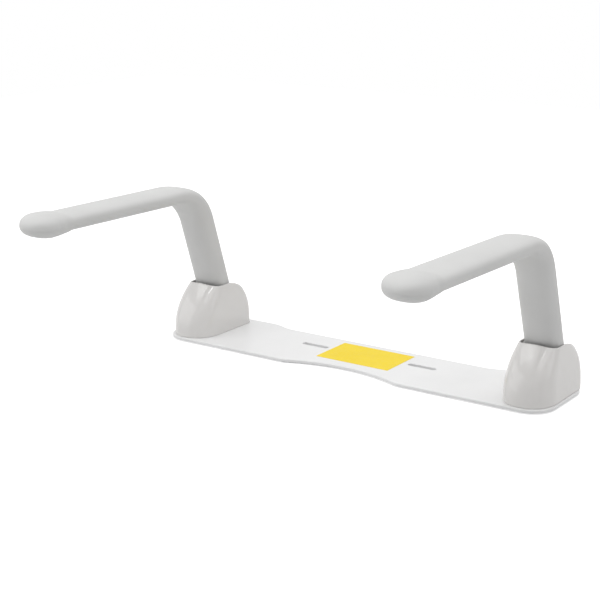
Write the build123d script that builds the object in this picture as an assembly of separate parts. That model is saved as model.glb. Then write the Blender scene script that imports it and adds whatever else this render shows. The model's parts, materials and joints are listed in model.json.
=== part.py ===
from build123d import *
from math import cos, radians, sin, tan
import os

# Toilet support rail. A steel plate is clamped between the bowl and the seat by the seat's own
# bolts, and carries a padded arm at each end. Each arm turns about a pin inside its cover, so it
# rests level for use and swings up and back out of the way.
#
# Millimetres. +X runs along the plate, +Y towards the cistern, +Z up. The origin is the centre of
# the two seat-bolt slots, on the plate's underside.

# ---- seat bolts and plate ----
SLOT_SPACING = 155.0
SLOT_LENGTH = 39.0
SLOT_WIDTH = 8.0
PLATE_T = 4.0
HALF_LENGTH = 271.0
FRONT_Y = -69.0
END_REAR_Y = 50.0
MID_REAR_Y = 41.0
PLATE_CORNER_R = 31.0
RECESS_HALF = 80.0
RECESS_Y = -52.0
SHOULDER_R = 22.0
REAR_STEP_X = (139.5, 179.5)
EDGE_ROUND = 1.2

# ---- sticker, mat and feet ----
STICKER_SIZE = (103.0, 65.0)
STICKER_CENTRE = (-1.0, -3.5)
STICKER_T = 0.25
MAT_T = 1.5
MAT_HALF_LENGTH = 150.0
MAT_INSET = 4.0
MAT_SLOT_MARGIN = 1.0
FOOT_R = 8.0
FOOT_PLACES = ((213.0, -57.0), (240.0, 40.0))

# ---- arm stations ----
ARM_X = 238.0
PIVOT_Y = 6.2
PIVOT_RISE = 28.0
POST_LEAN = 18.5
ARM_RISE = 1.0
ARM_HEIGHT = 189.5
ARM_HEIGHT_Y = -100.0
BEND_R = 57.0
TIP_Y = -333.5

# ---- arm tube and sleeve ----
TUBE_W = 30.0
TUBE_D = 15.0
TUBE_WALL = 2.0
TUBE_END_Y = -296.0
PLUG_FLANGE = 3.0
PLUG_LENGTH = 25.0
SLEEVE_START = 27.0
SLEEVE_GAP = 0.05
POST_SECTION = (44.0, 32.4)
ARM_SECTION = (49.5, 24.0)
SECTION_ROUND = 0.92
GRIP_AXES = (27.5, 34.0, 13.8)
NECK_Y = -296.0

# ---- pivot ----
PIN_R = 4.0
RUNNING_GAP = 0.05
BUSH_R = 6.0
BUSH_FLANGE_R = 9.0
BUSH_FLANGE_T = 1.5
BUSH_LENGTH = 10.0
CROSS_TUBE_R = 10.0
CROSS_TUBE_HALF = 15.2
SIDE_GAP = 0.3
PIN_HEAD_R = 7.0
PIN_HEAD_T = 3.5
PIN_HEAD_ROUND = 1.5
PIN_TAIL = 3.0
GROOVE_DEPTH = 0.8
CLIP_R = 7.0
CLIP_T = 1.2
SNUG_GAP = 0.1

# ---- bracket and stops ----
SHEET_T = 4.0
BRACKET_HALF = 21.0
BRACKET_FRONT = -50.0
BRACKET_REAR = 33.0
BRACKET_SIDE_H = 8.0
BEND_OUTER_R = 6.0
PIVOT_BOSS_R = 13.0
STOP_BOSS_R = 8.0
STOP_ALONG = 17.0
STOP_R = 4.0
BUFFER_R = 6.0
BAR_PROUD = 1.0
BAR_CHAMFER = 0.6
SWING = 90.0

# ---- bracket bolts, M6 ----
BOLT_R = 3.0
BOLT_HOLE_R = 3.3
BOLT_HEAD_R = 6.0
BOLT_HEAD_H = 3.2
BOLT_TAIL = 1.5
HEAD_CLEARANCE = 0.3
HEAD_SUNK = 0.1
BOLT_PLACES = ((8.5, -40.0), (8.5, 15.0))
WASHER_R = 6.0
WASHER_T = 1.2
NUT_FLATS = 10.0
NUT_H = 5.0

# ---- covers ----
COVER_H = 62.5
COVER_WALL = 2.5
COVER_STATIONS = (0.0, 0.2, 0.4, 0.6, 0.76, 0.9, 1.0)
COVER_HALF = (31.7, 23.9)
COVER_FRONT = (-66.0, -25.6)
COVER_REAR = (40.4, 13.1)
COVER_FRONT_R = (30.8, 12.0)
COVER_REAR_R = 13.5
HALF_EASE = 2.6
FRONT_EASE = 1.45
REAR_EASE = 4.4
FRONT_R_EASE = 1.5
COVER_CROWN_R = 106.0
COVER_TOP_ROUND = 1.0
SLOT_HALF = 22.8
SLOT_FRONT_Y = -24.0
SLOT_SILL = 18.0
SLOT_CORNER_R = 11.0
BOSS_R = 4.0
BOSS_H = 12.0
BOSS_PLACES = ((9.0, -58.0), (27.5, 20.0))
SCREW_R = 1.6
SCREW_HOLE_R = 1.75
SCREW_HEAD_R = 3.6
SCREW_HEAD_H = 2.0
SCREW_BITE = 9.0

PIVOT = Vector(0, PIVOT_Y, PLATE_T + PIVOT_RISE)
SIDES = {"left": -1, "right": 1}


# ---------------------------------------------------------------- helpers
def on_side(shape, side):
    """Place a shape drawn about x = 0, with +X outboard, at one end of the plate."""
    drawn = shape if side > 0 else mirror(shape, about=Plane.YZ)
    return Pos(side * ARM_X, 0, 0) * drawn


def x_rod(radius, x_low, x_high, y, z):
    """A round rod along X."""
    centre = Pos((x_low + x_high) / 2, y, z)
    return centre * Rot(0, 90, 0) * Cylinder(radius, x_high - x_low)


def post_point(along, forward, turned=0.0):
    """A point (y, z) on the post: along it from the pivot and forward of its axis, turned up."""
    lean = radians(POST_LEAN - turned)
    y = PIVOT.Y - along * sin(lean) - forward * cos(lean)
    z = PIVOT.Z + along * cos(lean) - forward * sin(lean)
    return y, z


def stop_places():
    """Axes (y, z) of the rest stop and of the raised stop, each just clear of the tube."""
    reach = TUBE_D / 2 + BUFFER_R + SIDE_GAP
    return post_point(STOP_ALONG, reach), post_point(STOP_ALONG, -reach, SWING)


def countersink(radius, head_radius, head_height, z_low, length):
    """A countersunk screw standing up from z_low."""
    head = Pos(0, 0, z_low + head_height / 2) * Cone(head_radius, radius, head_height)
    shank = Pos(0, 0, z_low + length / 2) * Cylinder(radius, length)
    return head + shank


def four_corners(places):
    """Repeat each (x, y) place on both sides of x = 0."""
    return [(sign * x, y) for x, y in places for sign in (-1, 1)]


def save(name, shape):
    """Write one node."""
    export_step(shape, f"parts/{name}.step")


# ---------------------------------------------------------------- plate and what lies on it
def plate_outline():
    """Plan of the plate: front recess, round corners and a stepped rear edge."""
    step_in, step_out = REAR_STEP_X
    step_mid = ((step_in + step_out) / 2, (MID_REAR_Y + END_REAR_Y) / 2)
    inner = HALF_LENGTH - PLATE_CORNER_R
    front_corner = (inner, FRONT_Y)
    side_low = (HALF_LENGTH, FRONT_Y + PLATE_CORNER_R)
    side_high = (HALF_LENGTH, END_REAR_Y - PLATE_CORNER_R)
    rear_corner = (inner, END_REAR_Y)
    half = Curve() + [
        Line((RECESS_HALF, FRONT_Y), front_corner),
        TangentArc(front_corner, side_low, tangent=(1, 0)),
        Line(side_low, side_high),
        TangentArc(side_high, rear_corner, tangent=(0, 1)),
        Line(rear_corner, (step_out, END_REAR_Y)),
        TangentArc((step_out, END_REAR_Y), step_mid, tangent=(-1, 0)),
        TangentArc((step_in, MID_REAR_Y), step_mid, tangent=(1, 0)),
        Line((step_in, MID_REAR_Y), (0, MID_REAR_Y)),
    ]
    recess = ThreePointArc((-RECESS_HALF, FRONT_Y), (0, RECESS_Y), (RECESS_HALF, FRONT_Y))
    return make_face(half + mirror(half, about=Plane.YZ) + recess)


def seat_slots(margin, height):
    """The two seat-bolt slots as solids, widened by a margin all round."""
    shape = SlotOverall(SLOT_LENGTH + 2 * margin, SLOT_WIDTH + 2 * margin)
    solid = Pos(0, 0, -height) * extrude(shape, 2 * height)
    return [Pos(sign * SLOT_SPACING / 2, 0, 0) * solid for sign in (-1, 1)]


def base_plate():
    """Flat plate with rounded edges, slots, and countersunk holes for bolts and cover screws."""
    plate = extrude(plate_outline(), PLATE_T)
    shoulders = [e for e in plate.edges().filter_by(Axis.Z)
                 if abs(abs(e.center().X) - RECESS_HALF) < 1 and e.center().Y < 0]
    plate = fillet(shoulders, SHOULDER_R)
    plate = fillet(plate.faces().sort_by(Axis.Z)[-1].outer_wire().edges(), EDGE_ROUND)
    plate = fillet(plate.faces().sort_by(Axis.Z)[0].outer_wire().edges(), EDGE_ROUND / 2)
    plate -= seat_slots(0, 2 * PLATE_T)
    bolt = countersink(BOLT_HOLE_R, BOLT_HEAD_R + HEAD_CLEARANCE, BOLT_HEAD_H, 0, 2 * PLATE_T)
    screw = countersink(SCREW_HOLE_R, SCREW_HEAD_R + HEAD_CLEARANCE, SCREW_HEAD_H, 0, 2 * PLATE_T)
    for side in SIDES.values():
        plate -= [Pos(side * ARM_X + x, y, 0) * bolt for x, y in four_corners(BOLT_PLACES)]
        plate -= [Pos(side * ARM_X + x, y, 0) * screw for x, y in four_corners(BOSS_PLACES)]
    return plate


def blank_sticker():
    """Plain adhesive patch between the slots."""
    patch = extrude(RectangleRounded(*STICKER_SIZE, 1.0), STICKER_T)
    return Pos(*STICKER_CENTRE, PLATE_T) * patch


def underside_mat():
    """Non-slip rubber mat under the middle of the plate, open at the seat bolts."""
    outline = offset(plate_outline(), -MAT_INSET)
    middle = Rectangle(2 * MAT_HALF_LENGTH, 4 * END_REAR_Y)
    mat = Pos(0, 0, -MAT_T) * extrude(outline & middle, MAT_T)
    return mat - seat_slots(MAT_SLOT_MARGIN, 2 * MAT_T)


def corner_feet():
    """Stick-on rubber discs under the plate's four corners."""
    disc = Pos(0, 0, -MAT_T / 2) * Cylinder(FOOT_R, MAT_T)
    disc = fillet(disc.edges().sort_by(Axis.Z)[0], MAT_T / 2)
    return Compound([Pos(x, y, 0) * disc for x, y in four_corners(FOOT_PLACES)])


# ---------------------------------------------------------------- bracket and stops
def bracket():
    """Folded steel channel: a web on the plate and two cheeks for the pin and the stop bars."""
    height = PIVOT.Z + 2 * PIVOT_BOSS_R
    outer = Pos(0, height / 2) * Rectangle(2 * BRACKET_HALF, height)
    outer = fillet(outer.vertices().group_by(Axis.Y)[0], BEND_OUTER_R)
    inner_half = BRACKET_HALF - SHEET_T
    inner = Pos(0, height / 2 + SHEET_T) * Rectangle(2 * inner_half, height)
    inner = fillet(inner.vertices().group_by(Axis.Y)[0], BEND_OUTER_R - SHEET_T)
    depth = BRACKET_REAR - BRACKET_FRONT
    section_plane = Plane(origin=(0, BRACKET_REAR, PLATE_T), x_dir=(1, 0, 0), z_dir=(0, -1, 0))
    channel = extrude(section_plane * (outer - inner), depth)

    rest, raised = stop_places()
    bosses = Sketch() + [
        Pos(PIVOT.Y, PIVOT.Z) * Circle(PIVOT_BOSS_R),
        Pos(*rest) * Circle(STOP_BOSS_R),
        Pos(*raised) * Circle(STOP_BOSS_R),
        Pos((BRACKET_FRONT + BRACKET_REAR) / 2, PLATE_T + BRACKET_SIDE_H / 2)
        * Rectangle(depth, BRACKET_SIDE_H),
    ]
    side_shape = make_hull(bosses.edges())
    envelope = extrude(Plane.YZ * side_shape, 2 * BRACKET_HALF, both=True)
    body = channel & envelope

    through = 2 * BRACKET_HALF
    body -= x_rod(PIN_R + RUNNING_GAP, -through, through, PIVOT.Y, PIVOT.Z)
    body -= [x_rod(STOP_R + RUNNING_GAP, -through, through, *place) for place in (rest, raised)]
    body -= [Pos(x, y, PLATE_T) * Cylinder(BOLT_HOLE_R, 4 * SHEET_T)
             for x, y in four_corners(BOLT_PLACES)]
    return body


def stop_bar(place):
    """Plain steel rod across the bracket, its ends chamfered."""
    reach = BRACKET_HALF + BAR_PROUD
    rod = x_rod(STOP_R, -reach, reach, *place)
    return chamfer(rod.edges().filter_by(GeomType.CIRCLE), BAR_CHAMFER)


def stop_buffer(place):
    """Rubber tube on a stop bar, between the cheeks."""
    half = BRACKET_HALF - SHEET_T - 2 * SIDE_GAP
    tube = x_rod(BUFFER_R, -half, half, *place)
    return tube - x_rod(STOP_R + RUNNING_GAP, -half - 1, half + 1, *place)


def pivot_pin():
    """Headed pin through both cheeks, with a groove for its clip."""
    y, z = PIVOT.Y, PIVOT.Z
    head_face = BRACKET_HALF + SNUG_GAP
    groove_face = -BRACKET_HALF - SIDE_GAP
    shank = x_rod(PIN_R, groove_face - PIN_TAIL, head_face, y, z)
    head = x_rod(PIN_HEAD_R, head_face, head_face + PIN_HEAD_T, y, z)
    head = fillet(head.edges().sort_by(Axis.X)[-1], PIN_HEAD_ROUND)
    groove = x_rod(2 * PIN_R, groove_face - CLIP_T, groove_face, y, z)
    groove -= x_rod(PIN_R - GROOVE_DEPTH, groove_face - 2 * CLIP_T, groove_face + CLIP_T, y, z)
    return shank + head - groove


def pivot_clip():
    """Retaining ring in the pin's groove, open at the bottom."""
    y, z = PIVOT.Y, PIVOT.Z
    x_high = -BRACKET_HALF - SIDE_GAP - RUNNING_GAP
    x_low = x_high - CLIP_T + 2 * RUNNING_GAP
    bore = x_rod(PIN_R - GROOVE_DEPTH + SNUG_GAP, x_low - CLIP_T, x_high + CLIP_T, y, z)
    ring = x_rod(CLIP_R, x_low, x_high, y, z) - bore
    mouth = Pos(x_low, y, z - CLIP_R) * Box(4 * CLIP_T, PIN_R, 2 * CLIP_R)
    return ring - mouth


# ---------------------------------------------------------------- fasteners
def bracket_bolts():
    """Countersunk M6 screws, up through the plate and the bracket's web."""
    length = PLATE_T + SHEET_T + WASHER_T + NUT_H + BOLT_TAIL
    bolt = countersink(BOLT_R, BOLT_HEAD_R, BOLT_HEAD_H, HEAD_SUNK, length)
    return [Pos(x, y, 0) * bolt for x, y in four_corners(BOLT_PLACES)]


def bracket_washers():
    """Plain washers on the web."""
    ring = Cylinder(WASHER_R, WASHER_T) - Cylinder(BOLT_HOLE_R, 2 * WASHER_T)
    z = PLATE_T + SHEET_T + WASHER_T / 2
    return [Pos(x, y, z) * ring for x, y in four_corners(BOLT_PLACES)]


def bracket_nuts():
    """Hexagon nuts on the washers."""
    hexagon = RegularPolygon(NUT_FLATS / 2, 6, major_radius=False)
    nut = extrude(hexagon - Circle(BOLT_R + RUNNING_GAP), NUT_H)
    z = PLATE_T + SHEET_T + WASHER_T
    return [Pos(x, y, z) * nut for x, y in four_corners(BOLT_PLACES)]


def cover_screws():
    """Small countersunk screws, up through the plate into the cover's bosses."""
    screw = countersink(SCREW_R, SCREW_HEAD_R, SCREW_HEAD_H, HEAD_SUNK, PLATE_T + SCREW_BITE)
    return [Pos(x, y, 0) * screw for x, y in four_corners(BOSS_PLACES)]


# ---------------------------------------------------------------- cover
def eased(pair, t, power):
    """Go from the first value at the foot to the second at the top, slowly and then fast."""
    foot, top = pair
    return foot + (top - foot) * t ** power


def cover_section(t, inset, z):
    """Rounded plan of the cover at a fraction t of its height, drawn in by an inset."""
    half = eased(COVER_HALF, t, HALF_EASE) - inset
    front = eased(COVER_FRONT, t, FRONT_EASE) + inset
    rear = eased(COVER_REAR, t, REAR_EASE) - inset
    front_r = eased(COVER_FRONT_R, t, FRONT_R_EASE) - inset
    rear_r = COVER_REAR_R - inset
    points = [(-half, rear - rear_r), (-half, front + front_r), (-half + front_r, front),
              (half - front_r, front), (half, front + front_r), (half, rear - rear_r),
              (half - rear_r, rear), (-half + rear_r, rear)]
    outline = Curve() + [
        Line(points[0], points[1]),
        TangentArc(points[1], points[2], tangent=(0, -1)),
        Line(points[2], points[3]),
        TangentArc(points[3], points[4], tangent=(1, 0)),
        Line(points[4], points[5]),
        TangentArc(points[5], points[6], tangent=(0, 1)),
        Line(points[6], points[7]),
        TangentArc(points[7], points[0], tangent=(-1, 0)),
    ]
    return Pos(0, 0, z) * make_face(outline)


def cover_body(inset):
    """Solid form of the cover, or of the hollow inside it, under a top that is crowned across."""
    body = loft([cover_section(t, inset, PLATE_T + t * COVER_H) for t in COVER_STATIONS])
    crown = Rot(90, 0, 0) * Cylinder(COVER_CROWN_R - inset, 4 * COVER_H)
    return body & Pos(0, 0, PLATE_T + COVER_H - COVER_CROWN_R) * crown


def cover():
    """Moulded hood over the bracket, open above and behind the post so that the arm can turn."""
    outer = cover_body(0)
    outer = fillet(outer.faces().sort_by(Axis.Z)[-1].outer_wire().edges(), COVER_TOP_ROUND)
    hollow = cover_body(COVER_WALL)
    bosses = Part() + [Pos(x, y, PLATE_T + BOSS_H / 2) * Cylinder(BOSS_R, BOSS_H)
                       for x, y in four_corners(BOSS_PLACES)]
    shell = outer - (hollow - bosses)
    reach = 2 * COVER_H
    slot = Box(2 * SLOT_HALF, reach, reach, align=(Align.CENTER, Align.MIN, Align.MIN))
    slot = fillet(slot.edges().filter_by(Axis.Z).group_by(Axis.Y)[0], SLOT_CORNER_R)
    shell -= Pos(0, SLOT_FRONT_Y, PLATE_T + SLOT_SILL) * slot
    pilot = Cylinder(SCREW_R + RUNNING_GAP, 2 * SCREW_BITE + 2)
    shell -= [Pos(x, y, PLATE_T) * pilot for x, y in four_corners(BOSS_PLACES)]
    return shell


# ---------------------------------------------------------------- arm
def arm_axis():
    """Centreline of the arm from the pivot: leaning post, bend, and level arm to its tip."""
    lean, rise = radians(POST_LEAN), radians(ARM_RISE)
    post_dir = Vector(0, -sin(lean), cos(lean))
    arm_dir = Vector(0, -cos(rise), sin(rise))
    arm_point = Vector(0, ARM_HEIGHT_Y, PLATE_T + ARM_HEIGHT)
    across = arm_point - PIVOT
    along = (across.Z * arm_dir.Y - across.Y * arm_dir.Z) / (
        post_dir.Z * arm_dir.Y - post_dir.Y * arm_dir.Z)
    corner = PIVOT + post_dir * along
    turn = radians(post_dir.get_angle(arm_dir))
    tangent_length = BEND_R * tan(turn / 2)
    post_end = corner - post_dir * tangent_length
    arm_start = corner + arm_dir * tangent_length
    return post_dir, arm_dir, post_end, arm_start


def arm_path(start, y_end):
    """Wire along the centreline, from a distance up the post to a y position on the arm."""
    post_dir, arm_dir, post_end, arm_start = arm_axis()
    first = PIVOT + post_dir * start
    last = arm_start + arm_dir * ((y_end - arm_start.Y) / arm_dir.Y)
    return Wire([
        Line(first, post_end).edge(),
        TangentArc(post_end, arm_start, tangent=post_dir).edge(),
        Line(arm_start, last).edge(),
    ])


def swept(section, start, y_end):
    """Carry a section drawn in (across, depth) along the centreline."""
    path = arm_path(start, y_end)
    plane = Plane(origin=path @ 0, x_dir=(1, 0, 0), z_dir=path % 0)
    return sweep(plane * section, path=path)


def arm_tube():
    """Bent flat-oval steel tube, coped at its foot onto the cross tube."""
    wall = SlotOverall(TUBE_W, TUBE_D) - SlotOverall(TUBE_W - 2 * TUBE_WALL, TUBE_D - 2 * TUBE_WALL)
    tube = swept(wall, CROSS_TUBE_R / 2, TUBE_END_Y)
    return tube - x_rod(CROSS_TUBE_R, -TUBE_W, TUBE_W, PIVOT.Y, PIVOT.Z)


def cross_tube():
    """Short steel tube across the arm's foot, which holds the bushes."""
    tube = x_rod(CROSS_TUBE_R, -CROSS_TUBE_HALF, CROSS_TUBE_HALF, PIVOT.Y, PIVOT.Z)
    return tube - x_rod(BUSH_R + RUNNING_GAP, -TUBE_W, TUBE_W, PIVOT.Y, PIVOT.Z)


def pivot_bushes():
    """Flanged nylon bushes, one in each end of the cross tube."""
    y, z = PIVOT.Y, PIVOT.Z
    seat = CROSS_TUBE_HALF
    flange_low = seat + RUNNING_GAP
    barrel = x_rod(BUSH_R, seat - BUSH_LENGTH, flange_low, y, z)
    flange = x_rod(BUSH_FLANGE_R, flange_low, flange_low + BUSH_FLANGE_T, y, z)
    bush = barrel + flange - x_rod(PIN_R + RUNNING_GAP, 0, 2 * seat, y, z)
    return [bush, mirror(bush, about=Plane.YZ)]


def end_plug():
    """Nylon plug that closes the tube's front end and carries the grip."""
    gap = 2 * SLEEVE_GAP
    inside = SlotOverall(TUBE_W - 2 * TUBE_WALL - gap, TUBE_D - 2 * TUBE_WALL - gap)
    _, arm_dir, _, arm_start = arm_axis()
    end = arm_start + arm_dir * ((TUBE_END_Y - arm_start.Y) / arm_dir.Y)
    back = Plane(origin=end - arm_dir * PLUG_LENGTH, x_dir=(1, 0, 0), z_dir=arm_dir)
    front = Plane(origin=end + arm_dir * SLEEVE_GAP, x_dir=(1, 0, 0), z_dir=arm_dir)
    body = extrude(back * inside, PLUG_LENGTH + PLUG_FLANGE / 2)
    return body + extrude(front * SlotOverall(TUBE_W, TUBE_D), PLUG_FLANGE)


def sleeve_section(plane, width, depth):
    """Soft rectangle across the arm."""
    return plane * RectangleRounded(width, depth, SECTION_ROUND * depth / 2)


def foam_sleeve():
    """Foam moulded round the tube: straight post, blended bend, straight arm and oval grip."""
    path = arm_path(SLEEVE_START, NECK_Y)
    post_dir, arm_dir, post_end, arm_start = arm_axis()
    foot = Plane(origin=path @ 0, x_dir=(1, 0, 0), z_dir=post_dir)
    knee = Plane(origin=post_end, x_dir=(1, 0, 0), z_dir=post_dir)
    shoulder = Plane(origin=arm_start, x_dir=(1, 0, 0), z_dir=arm_dir)
    neck = Plane(origin=path @ 1, x_dir=(1, 0, 0), z_dir=arm_dir)

    post = loft([sleeve_section(foot, *POST_SECTION), sleeve_section(knee, *POST_SECTION)])
    arm = loft([sleeve_section(shoulder, *ARM_SECTION), sleeve_section(neck, *ARM_SECTION)])
    arc = TangentArc(post_end, arm_start, tangent=post_dir)
    steps = 8
    sections = []
    for i in range(steps + 1):
        t = i / steps
        blend = t * t * (3 - 2 * t)
        width, depth = (a + (b - a) * blend for a, b in zip(POST_SECTION, ARM_SECTION))
        plane = Plane(origin=arc @ t, x_dir=(1, 0, 0), z_dir=arc % t)
        sections.append(sleeve_section(plane, width, depth))
    bend = loft(sections)

    tip = arm_start + arm_dir * ((TIP_Y - arm_start.Y) / arm_dir.Y)
    grip_centre = tip - arm_dir * GRIP_AXES[1]
    grip = Location(grip_centre) * Rot(-ARM_RISE, 0, 0) * scale(Sphere(1), by=GRIP_AXES)

    core = SlotOverall(TUBE_W + 2 * SLEEVE_GAP, TUBE_D + 2 * SLEEVE_GAP)
    hollow = swept(core, SLEEVE_START - 5, TUBE_END_Y - PLUG_FLANGE - 2 * SLEEVE_GAP)
    return post + bend + arm + grip - hollow


# ---------------------------------------------------------------- build
def main():
    """Build every node and write it."""
    os.makedirs("parts", exist_ok=True)
    rest, raised = stop_places()

    save("base_plate", base_plate())
    save("blank_sticker", blank_sticker())
    save("underside_mat", underside_mat())
    save("corner_feet", corner_feet())

    groups = {
        "bracket_bolts": bracket_bolts(),
        "bracket_washers": bracket_washers(),
        "bracket_nuts": bracket_nuts(),
        "cover_screws": cover_screws(),
        "pivot_clips": [pivot_clip()],
    }
    for name, solids in groups.items():
        save(name, Compound([on_side(s, side) for side in SIDES.values() for s in solids]))

    pieces = {
        "bracket": bracket(),
        "cover": cover(),
        "pivot_pin": pivot_pin(),
        "rest_stop_bar": stop_bar(rest),
        "rest_stop_buffer": stop_buffer(rest),
        "raised_stop_bar": stop_bar(raised),
        "raised_stop_buffer": stop_buffer(raised),
        "arm_tube": arm_tube(),
        "cross_tube": cross_tube(),
        "pivot_bushes": Compound(pivot_bushes()),
        "end_plug": end_plug(),
        "foam_sleeve": foam_sleeve(),
    }
    for side_name, side in SIDES.items():
        for name, shape in pieces.items():
            save(f"{side_name}_{name}", on_side(shape, side))


main()
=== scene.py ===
"""Looks of a toilet support rail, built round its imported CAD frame.

Metres, in the row frame: +X along the plate, +Y towards the cistern, +Z up. The origin lies midway
between the two seat-bolt slots, on the plate's underside.
"""
import json
import logging
from dataclasses import dataclass
from enum import Enum
from math import cos, radians, sin, tan
from typing import Any

import bpy
import numpy as np
from mathutils import Matrix, Vector


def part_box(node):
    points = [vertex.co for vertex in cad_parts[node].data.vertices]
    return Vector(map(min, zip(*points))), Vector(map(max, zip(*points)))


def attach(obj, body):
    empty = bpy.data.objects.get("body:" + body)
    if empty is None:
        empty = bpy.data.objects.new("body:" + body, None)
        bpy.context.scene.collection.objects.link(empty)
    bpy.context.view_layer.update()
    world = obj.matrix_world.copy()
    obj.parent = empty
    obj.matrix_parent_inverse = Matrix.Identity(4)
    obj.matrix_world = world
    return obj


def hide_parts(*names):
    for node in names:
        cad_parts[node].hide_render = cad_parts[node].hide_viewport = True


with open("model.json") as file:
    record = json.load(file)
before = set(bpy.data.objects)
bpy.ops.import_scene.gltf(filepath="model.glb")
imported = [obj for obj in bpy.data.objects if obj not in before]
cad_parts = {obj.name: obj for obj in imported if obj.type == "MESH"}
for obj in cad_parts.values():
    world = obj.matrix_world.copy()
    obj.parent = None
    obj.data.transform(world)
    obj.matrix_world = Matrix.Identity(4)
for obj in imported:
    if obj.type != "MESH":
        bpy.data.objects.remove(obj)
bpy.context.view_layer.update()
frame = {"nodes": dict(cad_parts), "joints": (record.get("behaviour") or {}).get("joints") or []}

MM = 0.001
LOG = logging.getLogger("support_rail")


class Side(Enum):
    """An end of the plate: its name and the sign of its x."""

    LEFT = ("left", -1.0)
    RIGHT = ("right", 1.0)

    @property
    def label(self) -> str:
        """Name used in node and body names."""
        return self.value[0]

    @property
    def sign(self) -> float:
        """Sign of x at this end."""
        return self.value[1]


# ---------------------------------------------------------------- colour and node helpers
def linear(hex_colour: str) -> tuple[float, float, float, float]:
    """Turn an sRGB hex colour into linear RGBA.

    Args:
        hex_colour: Six hex digits with a leading hash.

    Returns:
        Linear red, green, blue and an alpha of one.
    """
    channels = [int(hex_colour[i:i + 2], 16) / 255 for i in (1, 3, 5)]
    decoded = [c / 12.92 if c <= 0.04045 else ((c + 0.055) / 1.055) ** 2.4 for c in channels]
    return (decoded[0], decoded[1], decoded[2], 1.0)


def add_node(tree: bpy.types.NodeTree, kind: str, settings: dict[str, Any] | None = None,
             values: dict[str, Any] | None = None,
             links: dict[str, bpy.types.NodeSocket] | None = None) -> bpy.types.Node:
    """Add a shader node, set it up and link its inputs.

    Args:
        tree: Node tree to add to.
        kind: Blender's node type name.
        settings: Node properties by name.
        values: Constant inputs by socket name or index.
        links: Sockets that feed inputs, by socket name or index.

    Returns:
        The new node.
    """
    node = tree.nodes.new(kind)
    for name, value in (settings or {}).items():
        setattr(node, name, value)
    for name, value in (values or {}).items():
        node.inputs[name].default_value = value
    for name, socket in (links or {}).items():
        tree.links.new(socket, node.inputs[name])
    return node


def new_material(name: str) -> tuple[bpy.types.Material, bpy.types.NodeTree]:
    """Make an empty node material.

    Args:
        name: The material's name.

    Returns:
        The material and its cleared node tree.
    """
    material = bpy.data.materials.new(name)
    material.use_nodes = True
    material.node_tree.nodes.clear()
    return material, material.node_tree


# ---------------------------------------------------------------- finishes
# Where the noises' values mostly lie, so that both shades and all of the roughness range show.
DRIFT_SPAN = (0.35, 0.65)
GRAIN_SPAN = (0.3, 0.7)


@dataclass(frozen=True)
class Surface:
    """A moulded, coated or plated surface: two close shades, a roughness range and a fine relief.

    The shades drift over a large soft noise, and a fine noise gives the relief and the roughness
    change, as the real surface's texture does.

    Attributes:
        name: Material and process, as the material's name.
        light: The lighter shade, sRGB hex.
        dark: The darker shade, sRGB hex.
        rough_low: Roughness in the fine noise's valleys.
        rough_high: Roughness on its peaks.
        drift_mm: Size of the patches of shade.
        grain_mm: Size of the fine relief.
        relief_mm: Height of the fine relief.
        metallic: One for bare or plated metal.
        ior: Index of refraction.
        specular: Strength of the mirror reflection, 0.5 for the index's own.
        stretch: How much finer the pattern is along each axis; below one draws it out.
    """

    name: str
    light: str
    dark: str
    rough_low: float
    rough_high: float
    drift_mm: float
    grain_mm: float
    relief_mm: float
    metallic: float = 0.0
    ior: float = 1.5
    specular: float = 0.5
    stretch: tuple[float, float, float] = (1.0, 1.0, 1.0)

    def material(self) -> bpy.types.Material:
        """Build the node material.

        Returns:
            The finished material.
        """
        material, tree = new_material(self.name)
        place = add_node(tree, "ShaderNodeTexCoord").outputs["Object"]
        mapping = add_node(tree, "ShaderNodeMapping", values={"Scale": self.stretch},
                           links={"Vector": place})
        place = mapping.outputs["Vector"]
        drift = add_node(tree, "ShaderNodeTexNoise",
                         values={"Scale": 1 / (self.drift_mm * MM), "Detail": 3.0},
                         links={"Vector": place}).outputs["Fac"]
        grain = add_node(tree, "ShaderNodeTexNoise",
                         values={"Scale": 1 / (self.grain_mm * MM), "Detail": 2.0},
                         links={"Vector": place}).outputs["Fac"]
        shades = add_node(tree, "ShaderNodeValToRGB", links={"Fac": drift})
        for element, position, shade in zip(shades.color_ramp.elements, DRIFT_SPAN,
                                            (self.dark, self.light)):
            element.position = position
            element.color = linear(shade)
        rough = add_node(tree, "ShaderNodeMapRange",
                         values={"From Min": GRAIN_SPAN[0], "From Max": GRAIN_SPAN[1],
                                 "To Min": self.rough_low, "To Max": self.rough_high},
                         links={"Value": grain}).outputs["Result"]
        bump = add_node(tree, "ShaderNodeBump",
                        values={"Strength": 1.0, "Distance": self.relief_mm * MM},
                        links={"Height": grain}).outputs["Normal"]
        shader = add_node(tree, "ShaderNodeBsdfPrincipled",
                          values={"Metallic": self.metallic, "IOR": self.ior,
                                  "Specular IOR Level": self.specular},
                          links={"Base Color": shades.outputs["Color"], "Roughness": rough,
                                 "Normal": bump})
        add_node(tree, "ShaderNodeOutputMaterial",
                 links={"Surface": shader.outputs["BSDF"]})
        return material


# Polyester powder coat baked on steel sheet: near-white, satin, with a faint orange-peel relief
# about 1.5 mm across.
POWDER_COAT = Surface("white_polyester_powder_coat", "#EFEFEF", "#ECECEC", 0.30, 0.40,
                      60.0, 1.5, 0.010, ior=1.5)

# Integral-skin polyurethane foam, moulded: neutral light grey, matt and dry. The skin's real pores
# are 0.1 mm and finer, so they are drawn about 0.7 mm across to show at all.
SOFT_FOAM = Surface("grey_integral_skin_polyurethane", "#D8D8D7", "#D5D5D4", 0.58, 0.70,
                    45.0, 0.7, 0.018, ior=1.45, specular=0.35)

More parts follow.
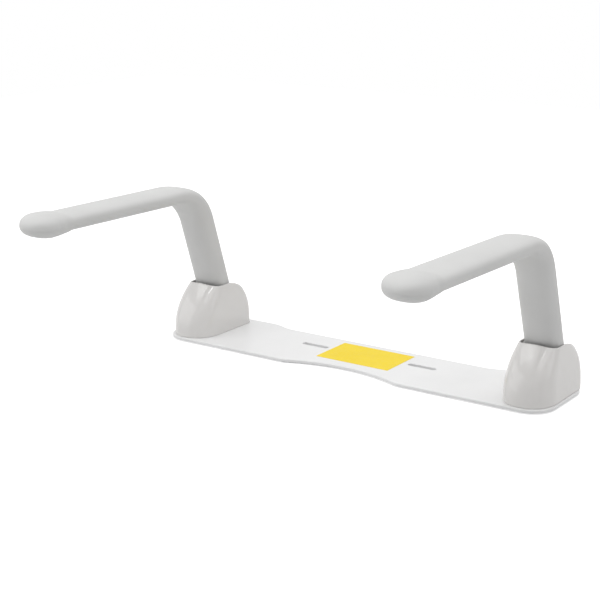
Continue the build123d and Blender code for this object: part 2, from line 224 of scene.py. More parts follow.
# Injection-moulded ABS from a polished mould: warm light grey, glossy, with the barely seen flow
# ripple of a large mould.
GLOSS_ABS = Surface("grey_polished_moulded_abs", "#E3E1DF", "#E0DEDC", 0.08, 0.13,
                    50.0, 6.0, 0.006, ior=1.53)

# Cast vinyl sticker film: flat strong yellow with a satin face and a slight paper-like ripple.
YELLOW_VINYL = Surface("yellow_cast_vinyl_film", "#F8DB1E", "#F5D71A", 0.42, 0.54,
                       25.0, 3.0, 0.008, ior=1.46, specular=0.4)

# Bright zinc on cold-rolled steel: pale blue-grey, semi-matt, with a fine rolled grain along X.
ZINC_STEEL = Surface("bright_zinc_plated_steel", "#C3C7CB", "#AEB3B8", 0.28, 0.42,
                     9.0, 0.5, 0.004, metallic=1.0, stretch=(0.25, 1.0, 1.0))

# Natural nylon, injection moulded: milky off-white and faintly waxy.
NATURAL_NYLON = Surface("natural_moulded_nylon", "#E9E6DB", "#DFDCCF", 0.38, 0.50,
                        12.0, 0.9, 0.006, ior=1.53)

# Moulded nitrile rubber: soft black, matt, with a little bloom that greys it in patches.
BLACK_RUBBER = Surface("black_moulded_nitrile_rubber", "#2B2B2C", "#1E1E1F", 0.62, 0.78,
                       14.0, 0.6, 0.020, ior=1.52)


# ---------------------------------------------------------------- mesh helpers
def smoothstep(t: np.ndarray) -> np.ndarray:
    """Ease from 0 to 1 with level ends: three t squared less two t cubed."""
    t = np.clip(t, 0.0, 1.0)
    return t * t * (3.0 - 2.0 * t)


def soft_max(a: np.ndarray, b: np.ndarray, width: float) -> np.ndarray:
    """Larger of two values, with the corner between them rounded.

    The gap between them is made positive by a square root that never falls below the width.

    Args:
        a: First value.
        b: Second value.
        width: Size of the rounded corner, in the values' unit.

    Returns:
        The rounded maximum.
    """
    return 0.5 * (a + b + np.sqrt((a - b) ** 2 + width ** 2) - width)


def walked_share(line: np.ndarray) -> np.ndarray:
    """Share of a line's length walked at each of its points."""
    walked = np.cumsum(np.linalg.norm(np.diff(line, axis=0), axis=1))
    return np.concatenate([[0.0], walked]) / walked[-1]


def grid_quads(rows: int, columns: int, wrap_rows: bool) -> np.ndarray:
    """Faces of a grid that closes on itself across its columns.

    Args:
        rows: Number of rings.
        columns: Number of points in each ring.
        wrap_rows: Whether the last ring joins the first.

    Returns:
        Vertex numbers of each quad, one quad a row.
    """
    last = rows if wrap_rows else rows - 1
    row, column = np.meshgrid(np.arange(last), np.arange(columns), indexing="ij")
    up, across = (row + 1) % rows, (column + 1) % columns
    quads = np.stack([row * columns + column, row * columns + across,
                      up * columns + across, up * columns + column], axis=-1)
    return quads.reshape(-1, 4)


def signed_volume(points: np.ndarray, quads: np.ndarray) -> float:
    """Six times the volume inside quads: the sum of the triple products of their two halves.

    Args:
        points: Vertex positions, one a row.
        quads: Vertex numbers of each quad, one quad a row.

    Returns:
        Six times the volume, below zero where the faces point inward.
    """
    a, b, c, d = (points[quads[:, i]] for i in range(4))
    halves = np.einsum("ij,ij->i", a, np.cross(b, c)) + np.einsum("ij,ij->i", a, np.cross(c, d))
    return float(halves.sum())


def make_piece(name: str, points: np.ndarray, faces: list[list[int]]) -> bpy.types.Object:
    """Put points and faces into a smooth-shaded object at the origin.

    Args:
        name: The object's name.
        points: Vertex positions, one a row.
        faces: Vertex numbers of each face.

    Returns:
        The new object.
    """
    mesh = bpy.data.meshes.new(name)
    mesh.from_pydata(points.tolist(), [], faces)
    mesh.validate()
    mesh.shade_smooth()
    piece = bpy.data.objects.new(name, mesh)
    bpy.context.scene.collection.objects.link(piece)
    return piece


def ring_piece(name: str, rings: np.ndarray, closed_ends: bool) -> bpy.types.Object:
    """Make a closed surface from rings of points.

    Either each end ring has shrunk to one point, which becomes a pole, or the last ring joins the
    first, which gives the shape of a bent ring.

    Args:
        name: The object's name.
        rings: Points by ring, by place round the ring, by axis.
        closed_ends: True for poles at the ends, False to join the last ring to the first.

    Returns:
        The new object, with its faces outward.
    """
    rows, columns, _ = rings.shape
    quads = grid_quads(rows, columns, not closed_ends)
    points = rings.reshape(-1, 3)
    if signed_volume(points, quads) < 0:
        quads = quads[:, ::-1]
    if closed_ends:
        number = np.arange(rows * columns)
        number[:columns] = 0
        number[-columns:] = number[-1]
        quads = number[quads]
        used = np.unique(quads)
        renumber = np.zeros(rows * columns, int)
        renumber[used] = np.arange(len(used))
        points = points[used]
        quads = renumber[quads]
    faces = [list(dict.fromkeys(quad)) for quad in quads.tolist()]
    return make_piece(name, points, faces)


# ---------------------------------------------------------------- padded arm
@dataclass
class PaddedArm:
    """Foam moulded round a bent tube: leaning post, bend, level arm and oval grip.

    Each ring is a superellipse across the centreline. Its half width and half depth go smoothly
    from the post's to the arm's through the bend. At the grip an ellipsoid's outline takes over
    wherever it stands out further than the arm, which leaves the soft crease behind it.

    Attributes:
        side: Which arm.
        pivot: The joint's place, where the centreline starts.
        tip_y: y of the grip's front end.
        lean: How far the post leans back.
        rise: How far the arm rises towards the tip.
        arm_z: Height of the arm's centreline at arm_z_at_y.
        arm_z_at_y: Where arm_z is taken.
        bend_radius: Radius of the centreline's bend.
        foot: Distance from the pivot to the foam's lower face.
        post_half: Half width and half depth of the post.
        arm_half: Half width and half depth of the arm.
        roundness: Superellipse's power at the post, the arm and the grip; two is an ellipse.
        grip_half: Half width and half height of the grip.
        grip_front: Length of the grip in front of its widest place.
        grip_rear: Length of the grip behind it, as far as the ellipsoid runs.
        grip_lift: How far the grip's middle stands above the arm's.
        crease: Width of the rounding where the grip meets the arm.
        foot_round: Radius round the foam's lower edge.
        bore_half: Half width and half depth of the bore that holds the tube.
        bore_roundness: Superellipse's power of the bore.
        bore_end: Distance from the tip to the bore's end.
        neck: Distance from the tip over which the rings are close together.
        columns: Points round each ring.
        grip_rings, neck_rings, arm_rings, bend_rings, post_rings: Rings along each stretch of the
            outside, with both its ends.
        edge_rings: Rings round the lower edge.
        face_rings: Rings across the lower face.
        bore_rings: Rings along the bore's post, bend and arm.
    """

    side: Side
    pivot: Vector
    tip_y: float
    lean: float = radians(18.5)
    rise: float = radians(1.0)
    arm_z: float = 0.1939
    arm_z_at_y: float = -0.100
    bend_radius: float = 0.059
    foot: float = 0.027
    post_half: tuple[float, float] = (0.0220, 0.0175)
    arm_half: tuple[float, float] = (0.0252, 0.0102)
    roundness: tuple[float, float, float] = (2.4, 3.0, 2.4)
    grip_half: tuple[float, float] = (0.0268, 0.0142)
    grip_front: float = 0.0256
    grip_rear: float = 0.0380
    grip_lift: float = -0.0004
    crease: float = 0.0004
    foot_round: float = 0.0020
    bore_half: tuple[float, float] = (0.0153, 0.0078)
    bore_roundness: float = 3.2
    bore_end: float = 0.034
    neck: float = 0.085
    columns: int = 96
    grip_rings: int = 40
    neck_rings: int = 30
    arm_rings: int = 40
    bend_rings: int = 40
    post_rings: int = 24
    edge_rings: int = 7
    face_rings: int = 6
    bore_rings: tuple[int, int, int] = (12, 24, 24)

    def __post_init__(self) -> None:
        """Work out the post's and the arm's directions and the lengths along the centreline."""
        self.up = np.array([-sin(self.lean), cos(self.lean)])
        self.forward = np.array([-cos(self.rise), sin(self.rise)])
        self.origin = np.array([self.pivot.y, self.pivot.z])
        across = np.array([self.arm_z_at_y, self.arm_z]) - self.origin
        along = np.linalg.solve(np.array([self.up, -self.forward]).T, across)[0]
        self.turn = float(np.arccos(self.up @ self.forward))
        tangent = self.bend_radius * tan(self.turn / 2)
        self.post_length = along - tangent
        self.bend_length = self.bend_radius * self.turn
        inward = np.array([-self.up[1], self.up[0]])
        self.inward = inward if inward @ self.forward > 0 else -inward
        arm_start = self.origin + self.up * along + self.forward * tangent
        self.arm_length = (arm_start[0] - self.tip_y) / -self.forward[0]
        self.length = self.post_length + self.bend_length + self.arm_length

    def centreline(self, distance: np.ndarray) -> tuple[np.ndarray, np.ndarray]:
        """Points on the centreline, and the way out of the bend there.

        The path is a straight, a circular arc and a straight: each part adds its own share of the
        distance, and the arc adds R sin(a) along the post and R (1 - cos(a)) inward.

        Args:
            distance: Distances from the pivot.

        Returns:
            (y, z) of the points, and (y, z) of the unit vectors away from the bend's centre.
        """
        angle = np.clip((distance - self.post_length) / self.bend_radius, 0.0, self.turn)[:, None]
        in_post = np.clip(distance, None, self.post_length)[:, None]
        in_arm = np.clip(distance - self.post_length - self.bend_length, 0, None)[:, None]
        points = (self.origin + in_post * self.up
                  + self.bend_radius * (np.sin(angle) * self.up
                                        + (1 - np.cos(angle)) * self.inward)
                  + in_arm * self.forward)
        outward = np.sin(angle) * self.up - np.cos(angle) * self.inward
        return points, outward

    def ring_sizes(self, distance: np.ndarray
                   ) -> tuple[np.ndarray, np.ndarray, np.ndarray, np.ndarray]:
        """Half width, half depth, lift and roundness of each ring.

        The half sizes go from the post's to the arm's by a smooth step over the bend. The grip's
        are its own times the square root of one less the square of the share of its front or rear
        length that lies between the ring and its widest place, and the larger of the two counts.

        Args:
            distance: Distances from the pivot.

        Returns:
            Half widths, half depths, how far each ring's centre is lifted, and the
            superellipse's power.
        """
        blend = smoothstep((distance - self.post_length) / self.bend_length)
        width, depth = (post + (arm - post) * blend
                        for post, arm in zip(self.post_half, self.arm_half))
        back = self.length - distance
        front_share = (back - self.grip_front) / self.grip_front
        rear_share = (back - self.grip_front) / self.grip_rear
        share = np.where(back < self.grip_front, front_share, rear_share)
        oval = np.sqrt(np.clip(1 - share ** 2, 0, None))
        in_front = back < self.grip_front
        width = np.where(in_front, self.grip_half[0] * oval,
                         soft_max(width, self.grip_half[0] * oval, self.crease))
        depth = np.where(in_front, self.grip_half[1] * oval,
                         soft_max(depth, self.grip_half[1] * oval, self.crease))
        grip = 1.0 - smoothstep((back - self.grip_front) / self.grip_rear)
        post_round, arm_round, grip_round = self.roundness
        straight = post_round + (arm_round - post_round) * blend
        return width, depth, self.grip_lift * grip, straight + (grip_round - straight) * grip

    def rings(self) -> np.ndarray:
        """Rings from the tip over the outside to the foot, and up the tube's bore to its end.

        A ring's points are its half width times the cosine and its half depth times the sine of
        the angle round it, each raised to two over the roundness with its sign kept.

        Returns:
            Points by ring, by place round the ring, by axis.
        """
        quarter = np.linspace(0, np.pi / 2, self.grip_rings)
        grip = self.length - self.grip_front * 2 * (1 - np.cos(quarter))
        neck = np.linspace(grip[-1], self.length - self.neck, self.neck_rings)[1:]
        bend_end = self.post_length + self.bend_length
        arm = np.linspace(neck[-1], bend_end, self.arm_rings)[1:]
        bend = np.linspace(bend_end, self.post_length, self.bend_rings)[1:]
        post = np.linspace(self.post_length, self.foot + self.foot_round, self.post_rings)[1:]
        outside = np.concatenate([grip, neck, arm, bend, post])
        width, depth, lift, roundness = self.ring_sizes(outside)

        turn = np.linspace(0, np.pi / 2, self.edge_rings)[1:]
        drop = self.foot_round * np.sin(turn)
        inset = self.foot_round * (1 - np.cos(turn))
        edge = self.foot + self.foot_round - drop
        foot_width, foot_depth = (half - inset for half in self.post_half)

        inner = np.linspace(0, 1, self.face_rings)[1:]
        face_width = foot_width[-1] + (self.bore_half[0] - foot_width[-1]) * inner
        face_depth = foot_depth[-1] + (self.bore_half[1] - foot_depth[-1]) * inner
        face_round = self.roundness[0] + (self.bore_roundness - self.roundness[0]) * inner

        bore_end = self.length - self.bore_end
        in_post, in_bend, in_arm = self.bore_rings
        bore = np.concatenate([np.linspace(self.foot, self.post_length, in_post)[1:],
                               np.linspace(self.post_length, bend_end, in_bend)[1:],
                               np.linspace(bend_end, bore_end, in_arm)[1:], [bore_end]])
        bore_scale = np.ones_like(bore)
        bore_scale[-1] = 0.0

        distance = np.concatenate([outside, edge, np.full_like(inner, self.foot), bore])
        width = np.concatenate([width, foot_width, face_width, self.bore_half[0] * bore_scale])
        depth = np.concatenate([depth, foot_depth, face_depth, self.bore_half[1] * bore_scale])
        lift = np.concatenate([lift, np.zeros(len(distance) - len(lift))])
        roundness = np.concatenate([roundness, np.full_like(edge, self.roundness[0]), face_round,
                                    np.full_like(bore, self.bore_roundness)])

        angle = np.linspace(0, 2 * np.pi, self.columns, endpoint=False)[None, :]
        power = (2 / roundness)[:, None]
        x = width[:, None] * np.sign(np.cos(angle)) * np.abs(np.cos(angle)) ** power
        out = depth[:, None] * np.sign(np.sin(angle)) * np.abs(np.sin(angle)) ** power
        centre, outward = self.centreline(distance)
        yz = centre[:, None, :] + (out + lift[:, None])[..., None] * outward[:, None, :]
        return np.concatenate([(x + self.pivot.x)[..., None], yz], axis=-1)

    def build(self, material: bpy.types.Material) -> bpy.types.Object:
        """Build and dress the padded arm.

        Args:
            material: The foam's material.

        Returns:
            The finished piece.
        """
        label = self.side.label
        piece = ring_piece(f"{label}_padded_arm", self.rings(), closed_ends=True)
        piece.data.materials.append(material)
        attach(piece, f"{label}_arm")
        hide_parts(f"{label}_foam_sleeve")
        return piece


# ---------------------------------------------------------------- cover
# Steps over which the cover's normals are taken, and how finely its foot is walked.
PLACE_STEP = 1e-4
HEIGHT_STEP = 1e-6
FOOT_PLACES = 801

# Times that the free edge's height is worked out again from the x that it moves to.
CROWN_ROUNDS = 4


@dataclass
class Cover:
    """Glossy moulded hood round the foot of an arm, open above and behind the post.

    Each level of the outside has a straight rear with round corners, straight sides and half a
    superellipse for its front. Its half width, front and rear draw in with height, slowly at first
    and then fast. A place on the outline is a number from -1 at the middle of the rear, through 0
    at the rear opening's edge, to 1 at the middle of the front. The wall's free edge follows the
    crowned top, turns down the opening's edge and crosses the sill, and a half-round lip joins the
    outside to the inside there.

    Attributes:
        side: Which cover.
        centre_x: x of the cover's middle.
        plate_z: Height of the plate's top, where the cover stands.
        height: Height of the crown above the plate.
        half: Half width at the foot and at the top.
        front: y of the front at the foot and at the top.
        rear: y of the rear at the foot and at the top.
        nose: Depth of the curved front at the foot and at the top.
        squareness: Power of the front's superellipse at the foot and at the top.
        rear_radius: Radius of the rear's corners.
        half_ease, front_ease, rear_ease, nose_ease: Powers of the height that draw each size in.
        corner_share: Share of the places from 0 to 1 that the rear corner takes.
        side_share: Share of them that the straight side takes.
        wall: Thickness at the foot and at the free edge.
        crown_radius: Radius of the top's crown, seen from the front.
        slot_half: Half width of the rear opening.
        sill: Height of the rear opening's sill.
        sill_corner: Radius of the opening's lower corners.
        top_corner: Radius where the opening's edge turns into the top.
        lip_rise: Share of the lip's radius by which the crown stands above the free edge.
        foot_round: Radius round the foot's outer and inner edges.
        rows: Rings up the outside.
        sill_points, corner_points, edge_points, crown_points: Points along each stretch of the
            free edge, with both its ends.
        lip_points: Points across the lip, with both its ends.
        foot_points: Points round each of the foot's edges, with both its ends.
    """

    side: Side
    centre_x: float
    plate_z: float
    height: float = 0.0643
    half: tuple[float, float] = (0.0310, 0.0240)
    front: tuple[float, float] = (-0.0655, -0.0288)
    rear: tuple[float, float] = (0.0426, 0.0155)
    nose: tuple[float, float] = (0.0352, 0.0197)
    squareness: tuple[float, float] = (2.20, 2.62)
    rear_radius: float = 0.0135
    half_ease: float = 2.4
    front_ease: float = 2.3
    rear_ease: float = 3.6
    nose_ease: float = 1.8
    corner_share: float = 0.10
    side_share: float = 0.36
    wall: tuple[float, float] = (0.0028, 0.0015)
    crown_radius: float = 0.112
    slot_half: float = 0.0237
    sill: float = 0.018
    sill_corner: float = 0.007
    top_corner: float = 0.010
    lip_rise: float = 0.7
    foot_round: float = 0.0009
    rows: int = 60
    sill_points: int = 16
    corner_points: int = 10
    edge_points: int = 26
    crown_points: int = 64
    lip_points: int = 12
    foot_points: int = 5

    def sizes(self, height: np.ndarray) -> dict[str, np.ndarray]:
        """Sizes of the outline at some heights above the plate.

        Each size goes from its value at the foot to its value at the top as the height's share
        raised to that size's power.

        Args:
            height: Heights, any shape.

        Returns:
            Half width, rear line, length of the rear's straight run, angle on the rear corner at
            the opening's edge, and the depth and squareness of the curved front.
        """
        level = np.clip(height / self.height, 0.0, 1.0)
        half = self.half[0] + (self.half[1] - self.half[0]) * level ** self.half_ease
        front = self.front[0] + (self.front[1] - self.front[0]) * level ** self.front_ease
        rear = self.rear[0] + (self.rear[1] - self.rear[0]) * level ** self.rear_ease
        depth = self.nose[0] + (self.nose[1] - self.nose[0]) * level ** self.nose_ease
        rear_run = half - self.rear_radius
        edge = np.arcsin(np.clip((self.slot_half - rear_run) / self.rear_radius, -1, 1))
        square = self.squareness[0] + (self.squareness[1] - self.squareness[0]) * level
        return {"half": half, "front": front, "rear": rear, "depth": depth, "square": square,
                "rear_run": rear_run, "edge": edge}

    def outside(self, place: np.ndarray, height: np.ndarray) -> np.ndarray:
        """Points of the outside's +X half.

        From place -1 to 0 the outline runs along the rear and round its corner to the opening's
        edge. From 0 to 1 it goes round the rest of the corner, straight along the side, and round
        the front, which is a quarter of a superellipse walked by its angle. Each of the three has
        a fixed share of the places.

        Args:
            place: Places on the outline, -1 to 1.
            height: Heights above the plate, same shape.

        Returns:
            (x, y, z) from the cover's own middle and the plate.
        """
        size = self.sizes(height)
        radius = self.rear_radius
        length = size["rear_run"] + radius * size["edge"]
        walked = length * (1 + place)
        turn_before = np.clip(walked - size["rear_run"], 0, None) / radius
        corner, side = self.corner_share, self.corner_share + self.side_share
        turn_after = (size["edge"] + (np.pi / 2 - size["edge"]) * np.clip(place / corner, 0, 1))
        turn = np.where(place < 0, turn_before, turn_after)
        x = np.where(place < 0, np.clip(walked, None, size["rear_run"]), size["rear_run"])
        x = x + radius * np.sin(turn)
        y = size["rear"] - radius * (1 - np.cos(turn))
        run = size["rear"] - radius - size["front"] - size["depth"]
        y = y - run * np.clip((place - corner) / self.side_share, 0, 1)
        angle = np.pi / 2 * np.clip((place - side) / (1 - side), 0, None)
        power = 2 / size["square"]
        cosine = np.sign(np.cos(angle)) * np.abs(np.cos(angle)) ** power
        x = np.where(place > side, size["half"] * cosine, x)
        y = np.where(place > side, y - size["depth"] * np.sin(angle) ** power, y)
        return np.stack([x, y, height + 0 * x], axis=-1)

    def normals(self, place: np.ndarray, height: np.ndarray) -> np.ndarray:
        """Outward unit normals: the cross product of the changes along the outline and upward.

        Args:
            place: Places on the outline, -1 to 1.
            height: Heights above the plate, same shape.

        Returns:
            (x, y, z) of the unit normals.
        """
        along = self.outside(place + PLACE_STEP, height) - self.outside(place - PLACE_STEP, height)
        low = np.clip(height - HEIGHT_STEP, 0.0, None)
        up = self.outside(place, height + HEIGHT_STEP) - self.outside(place, low)
        normal = np.cross(up, along)
        return normal / np.linalg.norm(normal, axis=-1, keepdims=True)

    def rim(self) -> tuple[np.ndarray, np.ndarray]:
        """The wall's free edge, from the middle of the sill to the middle of the front.

        The sill is level, a quarter circle turns up into the opening's edge, another turns out of
        it into the top, and the top is the hood's crown: the height less the rise of a circle of
        the crown's radius at that x.

        Returns:
            Places and heights above the plate.
        """
        lip = self.wall[1] / 2
        top = self.height - lip * self.lip_rise
        at_sill, at_top = self.sizes(np.array(self.sill)), self.sizes(np.array(top))
        inner = self.sill_corner / (at_sill["rear_run"] + self.rear_radius * at_sill["edge"])
        outer = (self.top_corner * self.corner_share
                 / (self.rear_radius * (np.pi / 2 - at_top["edge"])))
        side_top = top - (self.crown_radius
                          - np.sqrt(self.crown_radius ** 2 - self.slot_half ** 2))
        turn = np.linspace(0, np.pi / 2, self.corner_points)[1:]
        sill = np.linspace(-1, -inner, self.sill_points)
        edge = np.linspace(self.sill + self.sill_corner, side_top - self.top_corner,
                           self.edge_points)[1:]
        crown = outer + (1 - outer) * np.linspace(0, 1, self.crown_points)[1:]
        place = np.concatenate([sill, -inner * (1 - np.sin(turn)), np.zeros_like(edge),
                                outer * (1 - np.cos(turn)), crown])
        height = np.concatenate([np.full_like(sill, self.sill),
                                 self.sill + self.sill_corner * (1 - np.cos(turn)), edge,
                                 side_top - self.top_corner * (1 - np.sin(turn)),
                                 np.full_like(crown, top)])
        over = len(crown)
        for _ in range(CROWN_ROUNDS):
            x = self.outside(crown, height[-over:])[:, 0]
            height[-over:] = top - (self.crown_radius
                                    - np.sqrt(self.crown_radius ** 2 - x ** 2))
        return place, height

    def rings(self) -> np.ndarray:
        """Rings round the wall: up the outside, over the lip, down the inside and under the foot.

        Each line up the outside goes evenly, in place and in height, from the foot to the free
        edge, and the inside lies behind it by the wall's thickness along the normal. The lip is a
        half circle in the plane across the free edge, from the outward normal to its opposite by
        way of the direction that leaves the wall.

        Returns:
            Points by ring, by place round the ring, by axis.
        """
        rim_place, rim_height = self.rim()
        places = np.linspace(-1, 1, FOOT_PLACES)
        foot_share = walked_share(self.outside(places, 0 * places))
        rim_share = walked_share(self.outside(rim_place, rim_height))
        foot_place = np.interp(rim_share, foot_share, places)

        share = np.linspace(0, 1, self.rows)[:, None]
        place = foot_place + (rim_place - foot_place) * share
        height = self.foot_round + (rim_height - self.foot_round) * share
        outside = self.whole(self.outside(place, height))
        normal = self.whole(self.normals(place, height))

        rim, rim_normal = outside[-1], normal[-1]
        along = np.roll(rim, -1, axis=0) - np.roll(rim, 1, axis=0)
        leave = np.cross(along, rim_normal)
        leave = leave / np.linalg.norm(leave, axis=-1, keepdims=True)
        leave = leave * np.sign(leave[len(rim) // 2, 2])
        radius = self.wall[1] / 2
        angle = np.linspace(0, np.pi, self.lip_points)[1:-1, None, None]
        lip = rim - radius * rim_normal + radius * (np.cos(angle) * rim_normal
                                                    + np.sin(angle) * leave)
        thickness = self.wall[0] + (self.wall[1] - self.wall[0]) * share[..., None]
        inner = outside - thickness * normal
        inside = inner[::-2]
        if (self.rows - 1) % 2:
            inside = np.concatenate([inside, inner[:1]])

        down = np.array([0.0, 0.0, -1.0])
        bend = np.linspace(np.pi, np.pi / 2, self.foot_points)[1:, None, None]
        inner_foot = (outside[0] - (self.wall[0] - self.foot_round) * normal[0]
                      + self.foot_round * (np.cos(bend) * normal[0] + np.sin(bend) * down))
        bend = np.linspace(np.pi / 2, 0, self.foot_points)[:-1, None, None]
        outer_foot = (outside[0] - self.foot_round * normal[0]
                      + self.foot_round * (np.cos(bend) * normal[0] + np.sin(bend) * down))
        rings = np.concatenate([outside, lip, inside, inner_foot, outer_foot])
        return rings + np.array([self.centre_x, 0.0, self.plate_z])

    @staticmethod
    def whole(half: np.ndarray) -> np.ndarray:
        """Close a half outline, rear middle to front middle, with its mirror image."""
        return np.concatenate([half, half[:, -2:0:-1] * np.array([-1.0, 1.0, 1.0])], axis=1)

    def build(self, material: bpy.types.Material) -> bpy.types.Object:
        """Build and dress the cover.

        Args:
            material: The plastic's material.

        Returns:
            The finished piece.
        """
        label = self.side.label
        piece = ring_piece(f"{label}_hood", self.rings(), closed_ends=False)
        piece.data.materials.append(material)
        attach(piece, "base")
        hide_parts(f"{label}_cover")
        return piece


# ---------------------------------------------------------------- carried-over parts
@dataclass(frozen=True)
class CarriedParts:
    """CAD nodes shown with their own meshes, and the finish and slot name they share."""

    finish: Surface
    slot: str
    nodes: tuple[str, ...]

    def dress(self, shown: dict[str, bpy.types.Object], material: bpy.types.Material) -> None:
        """Give every node the material.

        Args:
            shown: CAD objects by node name.
            material: The material to use.
        """
        for name in self.nodes:
            mesh = shown[name].data
            mesh.materials.clear()
            mesh.materials.append(material)
            LOG.info("%s: CAD mesh, %s", name, material.name)


def both_sides(*names: str) -> tuple[str, ...]:
    """Names of a pair of nodes for each name given without its side."""
    return tuple(f"{side.label}_{name}" for side in Side for name in names)


CARRIED = (
    CarriedParts(POWDER_COAT, "white_powder_coat", ("base_plate",)),
    CarriedParts(YELLOW_VINYL, "yellow_film", ("blank_sticker",)),
    CarriedParts(BLACK_RUBBER, "black_rubber",
                 ("underside_mat", "corner_feet",
                  *both_sides("rest_stop_buffer", "raised_stop_buffer"))),
    CarriedParts(ZINC_STEEL, "zinc_steel",
                 ("bracket_bolts", "bracket_washers", "bracket_nuts", "cover_screws",
                  "pivot_clips", *both_sides("bracket", "pivot_pin", "rest_stop_bar",
                                             "raised_stop_bar", "arm_tube", "cross_tube"))),
    CarriedParts(NATURAL_NYLON, "white_nylon", both_sides("pivot_bushes", "end_plug")),
)


# ---------------------------------------------------------------- studio
FRAME_WIDTH = 36.0       # mm, the frame that the lens is given for
CLIP_END = 60.0          # m, beyond everything in the room


@dataclass(frozen=True)
class Softbox:
    """A soft lamp: a flat panel that shines towards a point.

    Attributes:
        name: The lamp's name.
        place: Middle of the panel.
        size: Width and height of the panel.
        watts: Its power.
    """

    name: str
    place: tuple[float, float, float]
    size: tuple[float, float]
    watts: float

    def build(self, aim: Vector) -> None:
        """Add the lamp.

        Args:
            aim: Point that the lamp faces.
        """
        data = bpy.data.lights.new(self.name, "AREA")
        data.shape = "RECTANGLE"
        data.size, data.size_y = self.size
        data.energy = self.watts
        lamp = bpy.data.objects.new(self.name, data)
        lamp.location = self.place
        lamp.rotation_euler = (aim - lamp.location).to_track_quat("-Z", "Y").to_euler()
        bpy.context.scene.collection.objects.link(lamp)


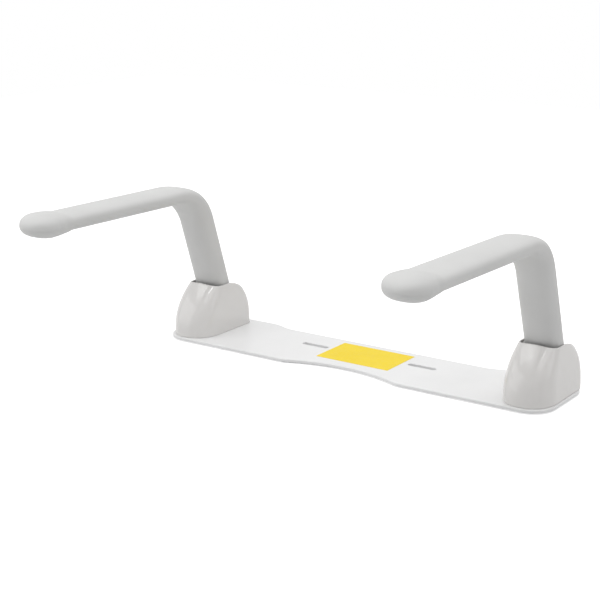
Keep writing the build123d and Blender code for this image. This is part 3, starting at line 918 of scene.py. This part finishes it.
@dataclass
class Studio:
    """White table, soft lamps and the camera.

    Attributes:
        aim: The object's own point that the camera is set by and the lamps face.
        floor_z: Height of the table.
        azimuth: How far the camera stands round from the front.
        elevation: How far it looks down.
        roll: How far it is turned about its own axis.
        offset: The aim's place from the camera: to the right, up, and behind it, so a negative
            last number puts the aim in front.
        lens: Focal length in mm on a frame 36 mm wide.
        floor_half: Half the table's side.
        floor_tone: The table's colour, sRGB hex.
        floor_lift: Light added to the table for the camera, which takes it to full white.
        room_light: Strength of the room's white as light.
        softboxes: The lamps.
    """

    aim: Vector
    floor_z: float
    azimuth: float = radians(34.875)
    elevation: float = radians(15.580)
    roll: float = radians(0.234)
    offset: tuple[float, float, float] = (0.0833, -0.0694, -1.7623)
    lens: float = 85.50
    floor_half: float = 2.2
    floor_tone: str = "#D6D6D6"
    floor_lift: float = 0.66
    room_light: float = 0.42
    softboxes: tuple[Softbox, ...] = (
        Softbox("ceiling_softbox", (0.40, 0.0, 3.20), (4.60, 3.80), 50.0),
        Softbox("key_softbox", (0.22, -1.38, 4.70), (1.20, 0.90), 23.0),
        Softbox("fill_softbox", (-2.40, -0.90, 4.20), (2.40, 1.60), 22.0),
        Softbox("left_softbox", (-2.0, -1.7, 1.0), (2.6, 2.0), 18.0),
        Softbox("right_softbox", (1.9, 0.1, 0.8), (1.0, 1.2), 3.0),
    )

    def camera(self) -> None:
        """Place the camera so that the aim lands at its offset from the middle of the view."""
        turn, tilt = self.azimuth, self.elevation
        right = Vector((cos(turn), sin(turn), 0))
        up = Vector((-sin(turn) * sin(tilt), cos(turn) * sin(tilt), cos(tilt)))
        back = Vector((sin(turn) * cos(tilt), -cos(turn) * cos(tilt), sin(tilt)))
        across, rise, away = self.offset
        place = self.aim - (across * right + rise * up + away * back)
        rolled_right = cos(self.roll) * right - sin(self.roll) * up
        rolled_up = sin(self.roll) * right + cos(self.roll) * up
        data = bpy.data.cameras.new("camera")
        data.lens = self.lens
        data.sensor_width = FRAME_WIDTH
        data.clip_end = CLIP_END
        camera = bpy.data.objects.new("camera", data)
        bpy.context.scene.collection.objects.link(camera)
        camera.matrix_world = (Matrix.Translation(place)
                               @ Matrix((rolled_right, rolled_up, back)).transposed().to_4x4())
        bpy.context.scene.camera = camera

    def white_rays(self, tree: bpy.types.NodeTree) -> bpy.types.NodeSocket:
        """Add nodes that give one for rays from the camera, mirrors or glass and nought for others.

        Args:
            tree: Node tree to add to.

        Returns:
            The socket with the answer.
        """
        path = add_node(tree, "ShaderNodeLightPath").outputs
        seen = add_node(tree, "ShaderNodeMath", {"operation": "MAXIMUM"},
                        links={0: path["Is Camera Ray"], 1: path["Is Glossy Ray"]})
        return add_node(tree, "ShaderNodeMath", {"operation": "MAXIMUM"},
                        links={0: seen.outputs[0],
                               1: path["Is Transmission Ray"]}).outputs[0]

    def room(self) -> None:
        """A white room: full white to the camera and in mirrors, dimmer as light."""
        world = bpy.data.worlds.new("white_room")
        world.use_nodes = True
        tree = world.node_tree
        tree.nodes.clear()
        strength = add_node(tree, "ShaderNodeMapRange",
                            values={"To Min": self.room_light, "To Max": 1.0},
                            links={"Value": self.white_rays(tree)})
        shader = add_node(tree, "ShaderNodeBackground", values={"Color": linear("#FFFFFF")},
                          links={"Strength": strength.outputs["Result"]})
        add_node(tree, "ShaderNodeOutputWorld", links={"Surface": shader.outputs[0]})
        bpy.context.scene.world = world

    def floor(self) -> None:
        """A matt white table that goes to full white where no shadow falls."""
        half = self.floor_half
        points = np.array([[-half, -half, self.floor_z], [half, -half, self.floor_z],
                           [half, half, self.floor_z], [-half, half, self.floor_z]])
        table = make_piece("table", points, [[0, 1, 2, 3]])
        material, tree = new_material("matt_white_table")
        paper = add_node(tree, "ShaderNodeBsdfDiffuse", values={"Color": linear(self.floor_tone)})
        lift = add_node(tree, "ShaderNodeMath", {"operation": "MULTIPLY"},
                        values={1: self.floor_lift}, links={0: self.white_rays(tree)})
        glow = add_node(tree, "ShaderNodeEmission", values={"Color": linear("#FFFFFF")},
                        links={"Strength": lift.outputs[0]})
        both = add_node(tree, "ShaderNodeAddShader",
                        links={0: paper.outputs[0], 1: glow.outputs[0]})
        add_node(tree, "ShaderNodeOutputMaterial", links={"Surface": both.outputs[0]})
        table.data.materials.append(material)

    def build(self) -> None:
        """Set up the room, the table, the lamps and the camera."""
        self.room()
        self.floor()
        for softbox in self.softboxes:
            softbox.build(self.aim)
        self.camera()
        bpy.context.scene.view_settings.view_transform = "Standard"


def main() -> None:
    """Build the arms, the covers, the carried-over parts' finishes and the studio."""
    logging.basicConfig(level=logging.INFO, format="%(message)s")
    pivots = {joint["child"]: Vector(joint["pos_m"]) for joint in frame["joints"]}
    plate_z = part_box("base_plate")[1].z
    foam, plastic = SOFT_FOAM.material(), GLOSS_ABS.material()
    for side in Side:
        pivot = pivots[f"{side.label}_arm"]
        tip_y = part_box(f"{side.label}_foam_sleeve")[0].y
        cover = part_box(f"{side.label}_cover")
        for piece in (PaddedArm(side, pivot, tip_y).build(foam),
                      Cover(side, (cover[0].x + cover[1].x) / 2, plate_z).build(plastic)):
            LOG.info("%s: %d points, %d faces", piece.name, len(piece.data.vertices),
                     len(piece.data.polygons))
    for parts in CARRIED:
        parts.dress(frame["nodes"], parts.finish.material())
    aim = Vector((0.0, 0.0, plate_z))
    Studio(aim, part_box("underside_mat")[0].z).build()


if __name__ == "__main__":
    main()
